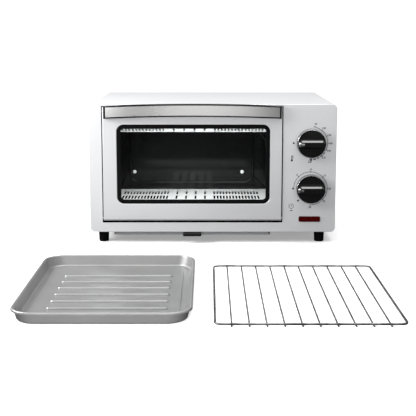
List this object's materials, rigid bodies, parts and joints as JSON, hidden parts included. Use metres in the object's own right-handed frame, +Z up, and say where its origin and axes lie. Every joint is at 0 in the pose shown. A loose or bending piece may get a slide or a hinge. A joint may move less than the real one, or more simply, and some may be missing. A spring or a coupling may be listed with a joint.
{
  "type": "toaster oven",
  "caption": "Counter-top toaster oven with a drop-down glass door, bowed handle, thermostat and timer knobs, crumb tray, baking tray and wire rack.",
  "frame": {"origin": "centre of the footprint of the oven with its tray and rack, on the worktop", "axes": "+Z up, +Y from the front of the oven to its back, +X to the right as seen from the front"},
  "size_m": [0.4418, 0.6578, 0.2134],
  "materials": {
    "cabinet_paint": "smooth satin off-white paint",
    "panel_silver": "satin silver paint on steel",
    "plated_sheet": "zinc plated sheet",
    "guard_sheet": "bright aluminised sheet",
    "black_enamel": "glossy black enamel",
    "screw_steel": "bright plated steel",
    "black_rubber": "matte black moulded rubber",
    "heater_sheath": "dull heat-browned steel",
    "ceramic": "unglazed white ceramic",
    "spring_steel": "oiled spring steel",
    "control_plastic": "moulded heat-proof plastic",
    "red_lens": "deep red translucent plastic",
    "lamp_glass": "small neon lamp",
    "lead_insulation": "silicone sleeved leads",
    "door_glass": "clear tempered glass",
    "gloss_black": "glossy black moulding",
    "brushed_plate": "brushed along its length",
    "bright_trim": "thin bright ring",
    "black_plastic": "matte black moulding",
    "tray_aluminium": "dull pressed sheet",
    "rack_wire": "plated steel wire"
  },
  "bodies": {
    "casing": {"cabinet": "cabinet_paint", "base_plate": "plated_sheet", "rear_cover": "plated_sheet", "cover_screws": "screw_steel", "front_panel": "panel_silver", "foot_front_left": "black_rubber", "foot_front_right": "black_rubber", "foot_rear_left": "black_rubber", "foot_rear_right": "black_rubber", "foot_screws": "screw_steel", "cable_gland": "black_rubber", "cavity_left_wall": "black_enamel", "cavity_right_wall": "black_enamel", "cavity_back_wall": "black_enamel", "cavity_roof": "black_enamel", "back_wall_screws": "screw_steel", "lower_guard": "guard_sheet", "upper_guard": "guard_sheet", "lower_heaters": "heater_sheath", "upper_heaters": "heater_sheath", "heater_insulators": "ceramic", "heat_shield": "plated_sheet", "hinge_bracket_left": "plated_sheet", "hinge_bracket_right": "plated_sheet", "door_spring_left": "spring_steel", "door_spring_right": "spring_steel", "thermostat_body": "control_plastic", "timer_body": "control_plastic", "timer_bell": "plated_sheet", "indicator_lens": "red_lens", "indicator_lamp": "lamp_glass", "terminal_block": "ceramic", "wiring": "lead_insulation", "crumb_rail_left": "plated_sheet", "crumb_rail_right": "plated_sheet"},
    "door": {"door_frame": "panel_silver", "window_seal": "black_rubber", "door_glass": "door_glass", "door_inner_panel": "plated_sheet", "door_screws": "screw_steel", "handle_body": "gloss_black", "handle_plate": "brushed_plate", "handle_screws": "screw_steel", "hinge_arm_left": "plated_sheet", "hinge_arm_right": "plated_sheet"},
    "thermostat_dial": {"thermostat_knob": "gloss_black", "thermostat_knob_trim": "bright_trim", "thermostat_shaft": "screw_steel"},
    "timer_dial": {"timer_knob": "gloss_black", "timer_knob_trim": "bright_trim", "timer_shaft": "screw_steel"},
    "crumb_drawer": {"crumb_tray": "plated_sheet", "crumb_tray_tab": "black_plastic"},
    "baking_tray_body": {"baking_tray": "tray_aluminium"},
    "wire_rack": {"rack_frame": "rack_wire", "rack_bars": "rack_wire"}
  },
  "joints": [
    {"name": "door_hinge", "type": "hinge", "parent": "casing", "child": "door", "pos_m": [-0.02305, 0.0689, 0.0385], "axis": [1, 0, 0], "range_deg": [0, 82], "stiffness_Nm_per_rad": 0.2, "springref_deg": -28.65},
    {"name": "thermostat_turn", "type": "hinge", "parent": "casing", "child": "thermostat_dial", "pos_m": [0.15445, 0.0549, 0.153], "axis": [0, 1, 0], "range_deg": [0, 270]},
    {"name": "timer_turn", "type": "hinge", "parent": "casing", "child": "timer_dial", "pos_m": [0.15445, 0.0549, 0.0843], "axis": [0, 1, 0], "range_deg": [-45, 270]},
    {"name": "crumb_tray_slide", "type": "slide", "parent": "casing", "child": "crumb_drawer", "axis": [0, -1, 0], "range_m": [0, 0.12]},
    {"name": "baking_tray_slide", "type": "slide", "parent": "casing", "child": "baking_tray_body", "axis": [0, -1, 0], "range_m": [0, 0.15]},
    {"name": "rack_slide", "type": "slide", "parent": "casing", "child": "wire_rack", "axis": [0, -1, 0], "range_m": [0, 0.15]}
  ]
}
